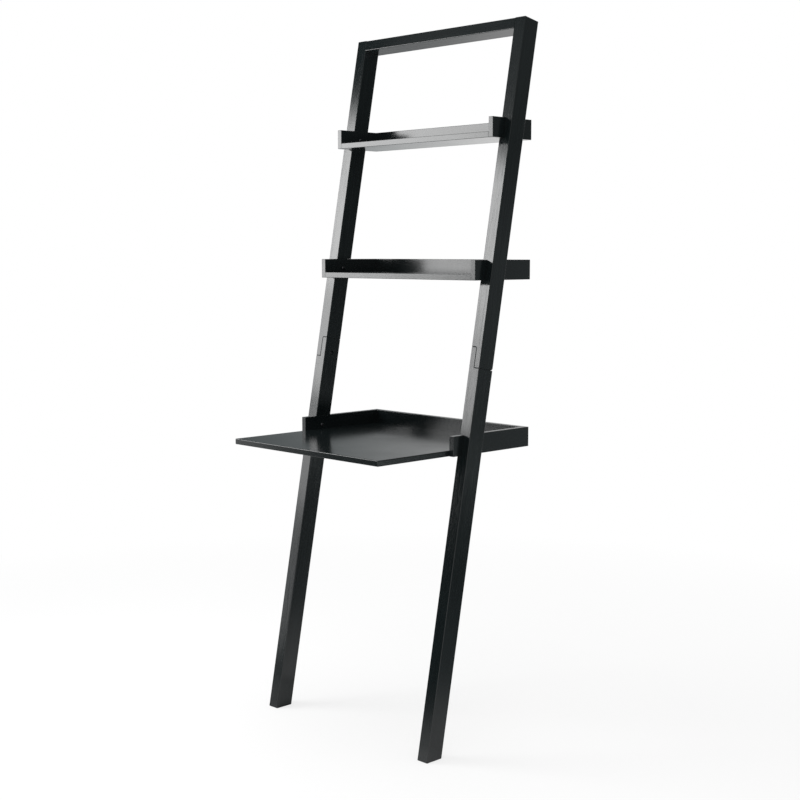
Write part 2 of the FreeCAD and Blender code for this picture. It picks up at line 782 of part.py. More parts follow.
doc.recompute()
for item in doc.Objects:
    if "Invalid" in item.State or "Error" in item.State:
        raise RuntimeError(f"{item.Label} did not recompute: {item.State}")
for node in NODES:
    if node.Shape.isNull() or not node.Shape.isValid():
        raise RuntimeError(f"{node.Label} has no valid shape")

os.makedirs("parts", exist_ok=True)
for node in NODES:
    node.Shape.exportStep(f"parts/{node.Label}.step")
    print(f"{node.Label}: {len(node.Shape.Solids)} solid(s), {node.Shape.Volume:.0f} mm3")
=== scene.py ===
# %% [markdown]
# # A ladder desk in black satin paint
# This desk leans on a wall: two long rails carry two shallow shelves and a writing board, and
# everything is painted black. Its shapes are finished already in the frame that loads below, so
# the lesson is about the rest: a camera, a studio that suits glossy black, and paint that holds
# up close to the eye. Every size is in metres, and up is +Z.

# %% Load the frame
import math

import bpy
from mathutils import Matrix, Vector


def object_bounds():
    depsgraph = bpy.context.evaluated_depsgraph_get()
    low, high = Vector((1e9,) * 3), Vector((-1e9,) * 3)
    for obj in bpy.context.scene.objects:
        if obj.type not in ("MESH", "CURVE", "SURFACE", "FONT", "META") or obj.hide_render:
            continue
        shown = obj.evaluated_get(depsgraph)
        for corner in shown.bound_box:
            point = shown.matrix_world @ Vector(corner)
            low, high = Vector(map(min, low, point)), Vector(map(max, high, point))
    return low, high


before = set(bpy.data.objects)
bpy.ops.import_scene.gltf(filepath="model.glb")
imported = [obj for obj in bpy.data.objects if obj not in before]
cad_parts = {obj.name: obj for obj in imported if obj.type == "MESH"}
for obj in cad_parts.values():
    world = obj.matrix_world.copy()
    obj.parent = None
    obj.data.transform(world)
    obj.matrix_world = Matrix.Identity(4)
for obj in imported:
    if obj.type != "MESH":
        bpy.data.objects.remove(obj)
cad_box = [list(corner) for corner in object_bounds()]
low, high = (Vector(corner) for corner in cad_box)
print("pieces in the frame:", len(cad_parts))
print("desk size:", [round(side, 3) for side in high - low])

# %% [markdown]
# ## Helpers for trees of nodes
# A material or a node group is a tree of nodes, and most of the typing in it is the same few
# moves: add a node and fill its inputs, do a sum, stretch a range, blend two colours, make noise.
# One small function for each keeps the recipes below short enough to read as recipes. Two more
# open and place a node group with named sockets, because grain, worn edges and dust are each
# wanted in more than one finish.


# %% Add a node and fill its inputs
def place(tree, kind, inputs=None, **settings):
    """One new node. Each input is given by name or number, as a value or as a socket to link."""
    made = tree.nodes.new(kind)
    for name, setting in settings.items():
        setattr(made, name, setting)
    for name, value in (inputs or {}).items():
        if isinstance(value, bpy.types.NodeSocket):
            tree.links.new(value, made.inputs[name])
        else:
            made.inputs[name].default_value = value
    return made


def maths(tree, operation, *values):
    """The result of one maths node, such as ADD or MULTIPLY, of sockets or plain numbers."""
    return place(tree, "ShaderNodeMath", dict(enumerate(values)), operation=operation).outputs[0]


def between(tree, value, start, end, to_start=0.0, to_end=1.0):
    """A value from start to end, stretched evenly to another range and held at its ends."""
    inputs = {0: value, 1: start, 2: end, 3: to_start, 4: to_end}
    return place(tree, "ShaderNodeMapRange", inputs, clamp=True).outputs[0]


def mixed(tree, share, first, second):
    """A blend of two colours, each a value or a socket. They go into 6 and 7, and 2 comes out."""
    inputs = {0: share, 6: first, 7: second}
    return place(tree, "ShaderNodeMix", inputs, data_type="RGBA").outputs[2]


def noise(tree, inputs, dimensions="3D"):
    """The value of a noise texture, from 0 to 1."""
    return place(tree, "ShaderNodeTexNoise", inputs, noise_dimensions=dimensions).outputs[0]


def vector_maths(tree, operation, first, second):
    """The outputs of one maths node on two vectors: a vector first, and a number named Value."""
    return place(tree, "ShaderNodeVectorMath", {0: first, 1: second}, operation=operation).outputs


print("helpers: place, maths, between, mixed, noise, vector_maths")


# %% Open a node group
def new_group(name, takes, gives, kind_given="NodeSocketFloat"):
    """An empty shader group. takes maps each input to its start value, or to None for a vector."""
    group = bpy.data.node_groups.new(name, "ShaderNodeTree")
    for socket, start in takes.items():
        kind = "NodeSocketVector" if start is None else "NodeSocketFloat"
        made = group.interface.new_socket(socket, in_out="INPUT", socket_type=kind)
        if start is not None:
            made.default_value = start
    for socket in gives:
        group.interface.new_socket(socket, in_out="OUTPUT", socket_type=kind_given)
    entry = group.nodes.new("NodeGroupInput")
    result = group.nodes.new("NodeGroupOutput")
    return group, entry.outputs, result.inputs


def use_group(tree, group, **inputs):
    """A placed group's outputs. An input's name is written with _ for each space."""
    named = {name.replace("_", " "): value for name, value in inputs.items()}
    return place(tree, "ShaderNodeGroup", named, node_tree=group).outputs


print("helpers: new_group, use_group")

# %% [markdown]
# ## The camera
# A ladder desk is tall and thin, and it is usually shown from a front corner, from chest height,
# so that the depth of the board reads. The camera could be aimed with a tracking constraint, but
# plain angles are easier to trust: a turn about Z and a small tilt down. The lens is a little
# longer than normal, which keeps the rails from spreading, and nothing is out of focus.

# %% Place the camera
CAMERA_AT = (2.689, -2.537, 1.282)
CAMERA_TURN = math.radians(45.8)
CAMERA_TILT = math.radians(6.1)
CAMERA_LENS = 62.5
SENSOR_WIDTH = 36.0

camera_data = bpy.data.cameras.new("camera")
camera_data.sensor_width = SENSOR_WIDTH
camera_data.lens = CAMERA_LENS
camera = bpy.data.objects.new("camera", camera_data)
camera.location = CAMERA_AT
camera.rotation_euler = (math.pi / 2 - CAMERA_TILT, 0, CAMERA_TURN)
bpy.context.scene.collection.objects.link(camera)
bpy.context.scene.camera = camera
bpy.context.scene.view_settings.view_transform = "Standard"
camera_range = (camera.location - (low + high) / 2).length
print("camera is", round(camera_range, 2), "m from the desk's middle")

# %% [markdown]
# ## The ring of white and dark that the paint mirrors
# Black paint shows almost nothing of its own colour: what the eye reads is what it mirrors. So
# the studio is planned as a ring of reflections round the desk. A white backdrop stands behind it
# and a little to its left, and a white card behind the camera draws a fine line down each rounded
# edge. Grey cards at the sides and in front give the faces some form from there, and the gaps
# between the cards are dark. Real sheets could be hung, but they would hide the desk from other
# sides. A small node group does it instead: it takes a direction, or a place on the floor, and
# says how bright the studio is that way.

# %% The studio ring
RING = (
    # degrees from the wall side round to the left, and how bright the studio is there
    (-180, 0.45),
    (-155, 1.40),
    (-115, 1.40),
    (-95, 0.60),
    (-75, 0.42),
    (-62, 0.26),
    (-54, 0.25),
    (-50, 0.10),
    (-47, 0.09),
    (-43, 0.36),
    (-32, 0.38),
    (-5, 1.06),
    (41, 1.06),
    (49, 0.38),
    (55, 0.13),
    (68, 0.05),
    (85, 0.38),
    (105, 0.38),
    (122, 0.05),
    (146, 0.07),
    (165, 0.35),
    (180, 0.45),
)
DIM_TINT = (0.80, 1.0, 1.04)
TINT_FADES = 0.6

# A dark flat low on the right: its middle, how far it reaches aside and up, and what it lets by.
GAP_TURN = math.radians(-55)
GAP_INSIDE = math.radians(31)
GAP_OUTSIDE = math.radians(38)
GAP_LOW = 0.02
GAP_MIDDLE = 0.075
GAP_HIGH = 0.13
GAP_LEVEL = 0.35

# Higher up, the whole studio is dimmer.
HIGH_UP = 0.25
HIGH_LEVEL = 0.5


def ring_colour(level):
    """A level of the ring as a colour: white where it is bright, a little cool where it is dim."""
    share = min(level / TINT_FADES, 1.0)
    return tuple(level * (tint + (1.0 - tint) * share) for tint in DIM_TINT) + (1.0,)


def ring_group():
    """The studio's light along Way: duller high up, and with a dark flat low on the right."""
    group, takes, gives = new_group("studio ring", {"Way": None}, ("Light",), "NodeSocketColor")
    unit = place(group, "ShaderNodeVectorMath", {0: takes["Way"]}, operation="NORMALIZE").outputs[0]
    part = place(group, "ShaderNodeSeparateXYZ", {0: unit}).outputs
    turn = maths(group, "ARCTAN2", maths(group, "MULTIPLY", part["X"], -1.0), part["Y"])
    ring = place(group, "ShaderNodeValToRGB", {0: between(group, turn, -math.pi, math.pi)})
    stops = ring.color_ramp.elements
    while len(stops) < len(RING):
        stops.new(1.0)
    for stop, (degrees, level) in zip(stops, RING):
        stop.position = (degrees + 180) / 360
        stop.color = ring_colour(level)
    below = between(group, part["Z"], GAP_MIDDLE, GAP_LOW, GAP_LEVEL, 1.0)
    above = between(group, part["Z"], GAP_MIDDLE, GAP_HIGH, GAP_LEVEL, 1.0)
    aside = maths(group, "ABSOLUTE", maths(group, "SUBTRACT", turn, GAP_TURN))
    elsewhere = between(group, aside, GAP_INSIDE, GAP_OUTSIDE)
    gap = maths(group, "MAXIMUM", maths(group, "MAXIMUM", below, above), elsewhere)
    level = maths(group, "MULTIPLY", gap, between(group, part["Z"], 0.0, HIGH_UP, 1.0, HIGH_LEVEL))
    light = place(group, "ShaderNodeVectorMath", {0: ring.outputs[0]}, operation="SCALE")
    group.links.new(level, light.inputs["Scale"])
    group.links.new(light.outputs[0], gives["Light"])
    return group


studio_ring = ring_group()
print("group:", studio_ring.name, "with", len(RING), "stops")

# %% [markdown]
# ## The floor
# The desk stands on a plain pale floor that runs out to white, as on a sheet of studio paper. A
# plain diffuse floor would show a grey horizon where the lamps give out. So the finish is part
# paper and part glow: near the desk the paper's share keeps the shadow, and further out the glow
# takes over. In the black paint the floor has another part to play. There it is as dim as the
# ring, apart from pools of lit paper at the feet and in front, and two patches of painted glow far
# back, seen only in reflections. The one on the right is painted light brighter than white, which
# the right edge of the writing board mirrors. The one on the left is a painted white glow, and it
# lightens the underside of the crossbar at its left end.

# %% Lay the floor
FLOOR_REACH = 9.0
FLOOR_COLOUR = (0.94, 0.94, 0.94, 1)
PAPER_WHITE = (1, 1, 1, 1)
SHADOW_START = 0.9
SHADOW_END = 2.6
SHADOW_SHARE = 0.26

# A pool: its middle on the floor, how far it is whole, where it ends, and its share.
FEET_POOL = ((0.0, 0.0, 0.0), 0.3, 0.95, 0.75)
FRONT_POOL = ((-0.5, -0.75, 0.0), 0.5, 1.5, 0.5)
# Painted light on the floor, seen only in reflections: a glow patch far back on the right, and one
# far back on the left.
PAINTED_GLOW_RIGHT = ((4.3, 2.92, 0.0), 0.5, 0.95, 1.0)
PAINTED_GLOW_WHITE = (2.5, 2.7, 2.7, 1)
PAINTED_GLOW_LEFT = ((-3.95, 3.06, 0.0), 0.35, 0.8, 0.5)
TOOTH_SCALE = 900.0
TOOTH_DEPTH = 0.0005
TOOTH_STRENGTH = 0.05
PAPER_SMOOTHEST = 0.85
PAPER_ROUGHEST = 0.95


def pool(tree, where, middle, full, end, share):
    """A share round a place on the floor: whole up to one distance, and none beyond another."""
    apart = vector_maths(tree, "DISTANCE", where, middle)["Value"]
    return between(tree, apart, full, end, share, 0.0)


def floor_finish():
    """Pale matt paper that keeps a shadow near the desk and glows white further out."""
    made = bpy.data.materials.new("studio floor")
    made.use_nodes = True
    tree = made.node_tree
    tree.nodes.clear()
    where = place(tree, "ShaderNodeTexCoord").outputs["Object"]
    away = place(tree, "ShaderNodeVectorMath", {0: where}, operation="LENGTH").outputs["Value"]
    path = place(tree, "ShaderNodeLightPath").outputs
    shiny = maths(tree, "MAXIMUM", path["Is Glossy Ray"], path["Is Transmission Ray"])
    mirrored = use_group(tree, studio_ring, Way=where)["Light"]
    # The two painted glow patches, added to what the paint mirrors: painted light, not a lamp.
    mirrored = mixed(tree, pool(tree, where, *PAINTED_GLOW_RIGHT), mirrored, PAINTED_GLOW_WHITE)
    mirrored = mixed(tree, pool(tree, where, *PAINTED_GLOW_LEFT), mirrored, PAPER_WHITE)
    glow_colour = mixed(tree, path["Is Camera Ray"], mirrored, PAPER_WHITE)
    seen = between(tree, away, SHADOW_START, SHADOW_END, 1 - SHADOW_SHARE, 1.0)
    seen = maths(tree, "MULTIPLY", seen, path["Is Camera Ray"])
    lit = maths(tree, "MAXIMUM", pool(tree, where, *FEET_POOL), pool(tree, where, *FRONT_POOL))
    unlit = maths(tree, "MULTIPLY", maths(tree, "SUBTRACT", 1.0, lit), shiny)
    glow_share = maths(tree, "ADD", seen, unlit)
    tooth = noise(tree, {"Vector": where, "Scale": TOOTH_SCALE, "Detail": 2.0})
    rough = between(tree, tooth, 0.0, 1.0, PAPER_SMOOTHEST, PAPER_ROUGHEST)
    fine = {"Height": tooth, "Strength": TOOTH_STRENGTH, "Distance": TOOTH_DEPTH}
    bump = place(tree, "ShaderNodeBump", fine)
    paper = {"Base Color": FLOOR_COLOUR, "Roughness": rough, "Normal": bump.outputs[0]}
    paper = place(tree, "ShaderNodeBsdfPrincipled", paper)
    glow = place(tree, "ShaderNodeEmission", {"Color": glow_colour})
    both = {0: glow_share, 1: paper.outputs[0], 2: glow.outputs[0]}
    both = place(tree, "ShaderNodeMixShader", both)
    place(tree, "ShaderNodeOutputMaterial", {"Surface": both.outputs[0]})
    return made


quarters = ((-1, -1), (1, -1), (1, 1), (-1, 1))
corners = [(x * FLOOR_REACH, y * FLOOR_REACH, low.z) for x, y in quarters]
floor_mesh = bpy.data.meshes.new("floor")
floor_mesh.from_pydata(corners, [], [(0, 1, 2, 3)])
floor_mesh.materials.append(floor_finish())
floor = bpy.data.objects.new("floor", floor_mesh)
bpy.context.scene.collection.objects.link(floor)
print("floor:", 2 * FLOOR_REACH, "m square at z =", round(low.z, 4))

# %% [markdown]
# ## The lamps and the room
# A key, a fill and a rim lamp suit most furniture. On black paint a lamp is a shape in a mirror
# before it is a light, so each one here hangs where its reflection should fall. A tall softbox
# with a brighter core stands to the left of the front, and the front faces of the upper rails and
# the shelf edges mirror it as pale bands. Below it, a low panel and a dimmer card do the same for
# the lower rails, and the panel is wide enough to reach the edge of the middle shelf. A faint card
# high up keeps the crossbar and the tops of the rails from going black, and a large panel overhead
# fills in. The backdrop lies in the writing board like water, and the dim room to the right leaves
# the side faces dark. A lamp's power is worked out from how bright its face should be, because
# that is what a mirror shows.

# %% Hang the lamps
LAMPS = {
    # name: (place, aimed at, width, height, brightness of its face)
    "softbox": ((-1.44, -1.23, 1.715), (0.0, 0.0, 1.715), 1.04, 1.19, 6.9),
    "softbox core": ((-1.43, -1.22, 1.91), (0.0, 0.0, 1.91), 0.86, 0.68, 3.0),
    "low panel": ((-2.30, -1.61, 0.96), (0.0, 0.0, 0.96), 1.05, 0.48, 3.4),
    "low card": ((-2.37, -1.50, 0.37), (0.0, 0.0, 0.37), 0.80, 0.68, 1.5),
    "high card": ((-1.50, -1.50, 2.65), (0.0, 0.1, 1.75), 1.00, 0.70, 0.33),
    "ceiling panel": ((0.0, -0.4, 3.6), (0.0, 0.0, 0.8), 3.2, 3.2, 1.8),
}


def hang_lamp(name, at, aim, width, height, brightness):
    """A flat rectangular lamp. Its power follows from how bright its face is and how large."""
    data = bpy.data.lights.new(name, "AREA")
    data.shape = "RECTANGLE"
    data.size = width
    data.size_y = height
    data.energy = brightness * math.pi * width * height
    lamp = bpy.data.objects.new(name, data)
    lamp.location = at
    lamp.rotation_euler = (Vector(aim) - Vector(at)).to_track_quat("-Z", "Y").to_euler()
    lamp.visible_camera = False
    bpy.context.scene.collection.objects.link(lamp)
    return lamp


for name, setup in LAMPS.items():
    print(name, round(hang_lamp(name, *setup).data.energy, 1), "W")

# %% Light the room
ROOM_LIGHT = (0.55, 0.55, 0.55, 1)


def room_light():
    """White to the camera, the studio ring to mirrors, and an even light to the rest."""
    world = bpy.data.worlds.new("studio room")
    world.use_nodes = True
    tree = world.node_tree
    tree.nodes.clear()
    path = place(tree, "ShaderNodeLightPath").outputs
    shiny = maths(tree, "MAXIMUM", path["Is Glossy Ray"], path["Is Transmission Ray"])
    way = place(tree, "ShaderNodeTexCoord").outputs["Generated"]
    mirrored = use_group(tree, studio_ring, Way=way)["Light"]
    light = mixed(tree, shiny, ROOM_LIGHT, mirrored)
    light = mixed(tree, path["Is Camera Ray"], light, PAPER_WHITE)
    light = place(tree, "ShaderNodeBackground", {"Color": light})
    place(tree, "ShaderNodeOutputWorld", {"Surface": light.outputs[0]})
    return world


bpy.context.scene.world = room_light()
print("room light:", ROOM_LIGHT[:3])

# %% [markdown]
# ## Wood under the paint
# The rails and the crossbar are solid wood. Paint fills most of the grain, but open pores and
# growth lines still print through as faint lines along each rail. The marks could be drawn in a
# picture, but they would stretch and repeat. Noise that is stretched along one axis gives them
# at any size, and each piece's own random number moves it to another part of the plank.

# %% The grain group
PORES_ACROSS = 900.0
PORES_ALONG = 22.0
PORE_FROM = 0.56
PORE_TO = 0.68
PORE_SINKS = 0.25
LINES_ACROSS = 55.0
LINES_ALONG = 2.6
LINES_COUNTED = 9.0
LINE_RISES = 0.8
PLANK_APART = (3.1, 5.7, 9.3)


def grain_group():
    """Marks of wood whose length runs along Z of the vector that it takes."""
    inputs = {"Vector": None, "Piece": 0.0}
    group, takes, gives = new_group("wood grain", inputs, ("Pores", "Lines", "Height"))
    plank = place(group, "ShaderNodeVectorMath", {0: PLANK_APART}, operation="SCALE")
    group.links.new(takes["Piece"], plank.inputs["Scale"])
    moved = vector_maths(group, "ADD", takes["Vector"], plank.outputs[0])[0]

    def stretched(across, along):
        """The moved vector, finer across the grain than along it."""
        return vector_maths(group, "MULTIPLY", moved, (across, across, along))[0]

    fine = stretched(PORES_ACROSS, PORES_ALONG)
    fine = noise(group, {"Vector": fine, "Scale": 1.0, "Detail": 3.0, "Roughness": 0.6})
    pores = between(group, fine, PORE_FROM, PORE_TO)
    wide = stretched(LINES_ACROSS, LINES_ALONG)
    figure = noise(group, {"Vector": wide, "Scale": 1.0, "Detail": 3.0, "Distortion": 0.5})
    lines = maths(group, "PINGPONG", maths(group, "MULTIPLY", figure, LINES_COUNTED), 1.0)
    raised = maths(group, "MULTIPLY", lines, LINE_RISES)
    sunk = maths(group, "MULTIPLY", pores, PORE_SINKS)
    group.links.new(pores, gives["Pores"])
    group.links.new(lines, gives["Lines"])
    group.links.new(maths(group, "SUBTRACT", raised, sunk), gives["Height"])
    return group


wood_grain = grain_group()
print("group:", wood_grain.name)

# %% [markdown]
# ## The skin of sprayed paint
# Sprayed paint dries with a very slight ripple, and its gloss drifts a little from place to
# place. On black this is what tells paint from plastic, because it bends the softbox's edge. One
# gloss for the whole desk would be simpler, but it would look moulded. So both come from noise: a
# fine one gives the ripple's height, and a broad one the drift.

# %% The paint skin group
RIPPLE_SCALE = 420.0
DRIFT_SCALE = 9.0
DRIFT_FROM = 0.3
DRIFT_TO = 0.7


def skin_group():
    """The ripple's height, and how far the gloss drifts, both from 0 to 1."""
    inputs = {"Vector": None, "Piece": 0.0}
    group, takes, gives = new_group("paint skin", inputs, ("Ripple", "Drift"))
    here = {"Vector": takes["Vector"], "W": takes["Piece"]}
    ripple = noise(group, {**here, "Scale": RIPPLE_SCALE, "Detail": 1.5}, "4D")
    drift = noise(group, {**here, "Scale": DRIFT_SCALE, "Detail": 4.0}, "4D")
    group.links.new(ripple, gives["Ripple"])
    group.links.new(between(group, drift, DRIFT_FROM, DRIFT_TO), gives["Drift"])
    return group


paint_skin = skin_group()
print("group:", paint_skin.name)

# %% [markdown]
# ## Worn edges
# Paint draws back from an edge as it dries, and hands and boxes rub it there first. The wear
# could be painted on by hand, but each piece would need a picture of its own. The group finds the
# edges instead: it compares the true normal with one that is rounded over a small radius, and the
# two differ only near an edge. Noise breaks the line up, so that the wear comes and goes.

# %% The worn edge group
EDGE_RADIUS = 0.0022
BEVEL_SAMPLES = 6
STILL_FLAT = 0.995
FULLY_TURNED = 0.86
BREAK_UP_SCALE = 60.0
PATCHES_FROM = 0.42
PATCHES_TO = 0.7


def edge_group():
    """1 where an edge is worn, 0 on the flats."""
    inputs = {"Vector": None, "Radius": EDGE_RADIUS}
    group, takes, gives = new_group("worn edges", inputs, ("Worn",))
    rounded = {"Radius": takes["Radius"]}
    rounded = place(group, "ShaderNodeBevel", rounded, samples=BEVEL_SAMPLES).outputs[0]
    true = place(group, "ShaderNodeNewGeometry").outputs["Normal"]
    alike = vector_maths(group, "DOT_PRODUCT", rounded, true)["Value"]
    edge = between(group, alike, STILL_FLAT, FULLY_TURNED)
    patches = {"Vector": takes["Vector"], "Scale": BREAK_UP_SCALE, "Detail": 5.0, "Roughness": 0.65}
    patches = between(group, noise(group, patches), PATCHES_FROM, PATCHES_TO)
    group.links.new(maths(group, "MULTIPLY", edge, patches), gives["Worn"])
    return group


worn_edges = edge_group()
print("group:", worn_edges.name)

# %% [markdown]
# ## Settled dust
# Dust is the first thing that shows on black. It lies only on what faces up, thinner where a
# hand has wiped it, and it dulls the gloss more than it changes the colour. Its specks are too
# many and too small to model, so the group gives a mask, and the paint decides what dust does.

# %% The dust group
UP_FROM = 0.6
UP_TO = 0.98
WIPE_SCALE = 5.0
SPECK_SCALE = 700.0

# From one level of noise to another, and the share of the dust at each.
WIPED = (0.35, 0.75, 0.25, 1.0)
SPECKLED = (0.45, 0.8, 0.35, 1.0)


def dust_group():
    """How much dust lies on a place, from 0 to 1."""
    group, takes, gives = new_group("settled dust", {"Vector": None}, ("Dust",))
    normal = place(group, "ShaderNodeNewGeometry").outputs["Normal"]
    up = place(group, "ShaderNodeSeparateXYZ", {0: normal}).outputs["Z"]
    level = between(group, up, UP_FROM, UP_TO)
    wiped = {"Vector": takes["Vector"], "Scale": WIPE_SCALE, "Detail": 4.0, "Distortion": 0.8}
    wiped = between(group, noise(group, wiped), *WIPED)
    specks = {"Vector": takes["Vector"], "Scale": SPECK_SCALE, "Detail": 2.0}
    specks = between(group, noise(group, specks), *SPECKLED)
    lying = maths(group, "MULTIPLY", maths(group, "MULTIPLY", wiped, specks), level)
    group.links.new(lying, gives["Dust"])
    return group


settled_dust = dust_group()
print("group:", settled_dust.name)

# %% [markdown]
# ## Faces square to an axis
# Cut faces take paint differently from long ones: the ends of solid wood drink it and dry dull,
# and the edges of a board dry to a gloss of their own. They could be picked by hand and given a
# material of their own, but they are easy to tell by the way they face. The group measures how
# square a face is to an axis: the rail's length finds its ends, and a board's thickness finds its
# broad faces.

# %% The facing group
SQUARE_FROM = 0.75
SQUARE_TO = 0.95


def facing_group():
    """1 on the faces square to the axis that it takes, 0 on those along it."""
    group, takes, gives = new_group("square faces", {"Axis": None}, ("Square",))
    normal = place(group, "ShaderNodeNewGeometry").outputs["Normal"]
    along = vector_maths(group, "DOT_PRODUCT", normal, takes["Axis"])["Value"]
    square = between(group, maths(group, "ABSOLUTE", along), SQUARE_FROM, SQUARE_TO)
    group.links.new(square, gives["Square"])
    return group


square_faces = facing_group()
print("group:", square_faces.name)

# %% [markdown]
# ## Black paint over wood, and over board
# Both finishes are one paint. Over solid wood the grain prints through and the cut ends are
# dull. Over board there is no grain, and the cut edges show a faint fibre. The broad faces of the
# boards are the glossiest on the desk, and the backs and sides are a little duller. A function
# builds the paint and takes what lies under it as a height, a roughness and a tone, so that both
# stay the same black.

# %% The black paint
PAINT_BLACK = (0.0038, 0.0066, 0.0071, 1)
PAINT_DEEP = (0.0026, 0.0048, 0.0052, 1)
WORN_BROWN = (0.060, 0.048, 0.038, 1)
DUST_GREY = (0.30, 0.29, 0.275, 1)
WEAR_SHOWS = 0.22
WEAR_DULLS = 0.06
DUST_SHOWS = 0.02
DUST_DULLS = 0.06
DRIFT_DULLS = 0.04
RIPPLE_SHARE = 0.045
RELIEF_DEPTH = 0.0003


def open_material(name):
    """A new material's tree, with where each point is and the piece's own random number."""
    made = bpy.data.materials.new(name)
    made.use_nodes = True
    tree = made.node_tree
    tree.nodes.clear()
    where = place(tree, "ShaderNodeTexCoord").outputs["Object"]
    piece = place(tree, "ShaderNodeObjectInfo").outputs["Random"]
    return made, tree, where, piece


def finish_paint(tree, where, piece, tone, roughness, height, relief):
    """The paint itself: tone, roughness and height come from what lies under it."""
    skin = use_group(tree, paint_skin, Vector=where, Piece=piece)
    worn = use_group(tree, worn_edges, Vector=where)["Worn"]
    dust = use_group(tree, settled_dust, Vector=where)["Dust"]
    black = mixed(tree, tone, PAINT_BLACK, PAINT_DEEP)
    black = mixed(tree, maths(tree, "MULTIPLY", worn, WEAR_SHOWS), black, WORN_BROWN)
    black = mixed(tree, maths(tree, "MULTIPLY", dust, DUST_SHOWS), black, DUST_GREY)
    drift = maths(tree, "MULTIPLY", skin["Drift"], DRIFT_DULLS)
    dulled = maths(tree, "MULTIPLY", dust, DUST_DULLS)
    rubbed = maths(tree, "MULTIPLY", worn, WEAR_DULLS)
    soiled = maths(tree, "ADD", dulled, rubbed)
    rough = maths(tree, "ADD", maths(tree, "ADD", roughness, drift), soiled)
    surface = maths(tree, "ADD", height, maths(tree, "MULTIPLY", skin["Ripple"], RIPPLE_SHARE))
    bump = {"Height": surface, "Strength": relief, "Distance": RELIEF_DEPTH}
    bump = place(tree, "ShaderNodeBump", bump)
    paint = {"Base Color": black, "Roughness": rough, "Normal": bump.outputs[0]}
    paint = place(tree, "ShaderNodeBsdfPrincipled", paint)
    place(tree, "ShaderNodeOutputMaterial", {"Surface": paint.outputs[0]})


print("paint:", PAINT_BLACK[:3], "to", PAINT_DEEP[:3])

# %% Paint over solid wood
RAIL_LEAN = math.radians(10.6)
WOOD_ROUGHNESS = 0.14
WOOD_RELIEF = 0.2
ENDS_DULL = 0.22
PORES_DULL = 0.05
ALONG_RAIL = (RAIL_LEAN, 0, 0)
ALONG_WIDTH = (0, -math.pi / 2, 0)


def paint_over_wood(name, grain_turn, length_way):
    """Satin black with the grain printed through. grain_turn brings the wood's length to Z."""
    made, tree, where, piece = open_material(name)
    turned = place(tree, "ShaderNodeMapping", {"Vector": where, "Rotation": grain_turn}).outputs[0]
    grain = use_group(tree, wood_grain, Vector=turned, Piece=piece)
    ends = use_group(tree, square_faces, Axis=length_way)["Square"]
    thirsty = maths(tree, "MULTIPLY", ends, ENDS_DULL)
    open_pores = maths(tree, "MULTIPLY", grain["Pores"], PORES_DULL)
    rough = maths(tree, "ADD", maths(tree, "ADD", thirsty, open_pores), WOOD_ROUGHNESS)
    finish_paint(tree, where, piece, grain["Lines"], rough, grain["Height"], WOOD_RELIEF)
    return made


UP_THE_RAIL = (0, math.sin(RAIL_LEAN), math.cos(RAIL_LEAN))
rail_paint = paint_over_wood("black paint on rails", ALONG_RAIL, UP_THE_RAIL)
crossbar_paint = paint_over_wood("black paint on crossbar", ALONG_WIDTH, (1, 0, 0))
print(rail_paint.name, "|", crossbar_paint.name)

# %% Paint over board
BOARD_ROUGHNESS = 0.13
PANEL_ROUGHNESS = 0.17
BACK_ROUGHNESS = 0.17
SMOOTH_EDGE = 0.16
ROUTED_EDGE = 0.20
FIBRE_SCALE = 900.0
FIBRE_HEIGHT = 0.5
BOARD_RELIEF = 0.25


def paint_over_board(name, thickness_way, face_roughness, edge_roughness):
    """Black with one gloss on the broad faces and another on the faintly fibrous cut edges."""
    made, tree, where, piece = open_material(name)
    broad = use_group(tree, square_faces, Axis=thickness_way)["Square"]
    edges = maths(tree, "SUBTRACT", 1.0, broad)
    fibres = noise(tree, {"Vector": where, "W": piece, "Scale": FIBRE_SCALE, "Detail": 3.0}, "4D")
    rough = between(tree, edges, 0.0, 1.0, face_roughness, edge_roughness)
    height = maths(tree, "MULTIPLY", maths(tree, "MULTIPLY", edges, fibres), FIBRE_HEIGHT)
    finish_paint(tree, where, piece, fibres, rough, height, BOARD_RELIEF)
    return made


shelf_paint = paint_over_board("black paint on shelves", (0, 0, 1), BOARD_ROUGHNESS, SMOOTH_EDGE)
desk_paint = paint_over_board("black paint on desk board", (0, 0, 1), BOARD_ROUGHNESS, ROUTED_EDGE)
back_paint = paint_over_board("black paint on backs", (0, 1, 0), BACK_ROUGHNESS, SMOOTH_EDGE)
side_paint = paint_over_board("black paint on sides", (1, 0, 0), PANEL_ROUGHNESS, SMOOTH_EDGE)
print(shelf_paint.name, "|", desk_paint.name, "|", back_paint.name, "|", side_paint.name)

# %% [markdown]
# ## Bolts, inserts and dowels
# The bolts have button heads in blackened steel, which is a thin dark skin over bright metal, so
# it is metallic but nearly black and a little uneven. The inserts are zinc plated, and the dowels
# are bare beech. Both are hidden in the wood once the desk is together, but a reader may take it
# apart, so they get true finishes too. One function makes both metals, because they differ only
# in their colours, their gloss and how much shows through.

# %% Blackened steel and zinc
STEEL_BLACK = (0.045, 0.046, 0.050, 1)
STEEL_BRIGHT = (0.30, 0.30, 0.31, 1)
ZINC_PALE = (0.70, 0.69, 0.64, 1)
ZINC_DARK = (0.46, 0.45, 0.42, 1)
STEEL_SHOWS = 0.12
STEEL_ROUGHNESS = 0.26
STEEL_SPREAD = 0.12
ZINC_SHOWS = 0.5
ZINC_ROUGHNESS = 0.30
ZINC_SPREAD = 0.15
PATCH_SCALE = 260.0
SHADE_FROM = 0.35
SHADE_TO = 0.75
SHEEN_FROM = 0.3
SHEEN_TO = 0.7
METAL_EDGE = 0.0006
METAL_RELIEF = 0.0001
METAL_STRENGTH = 0.15


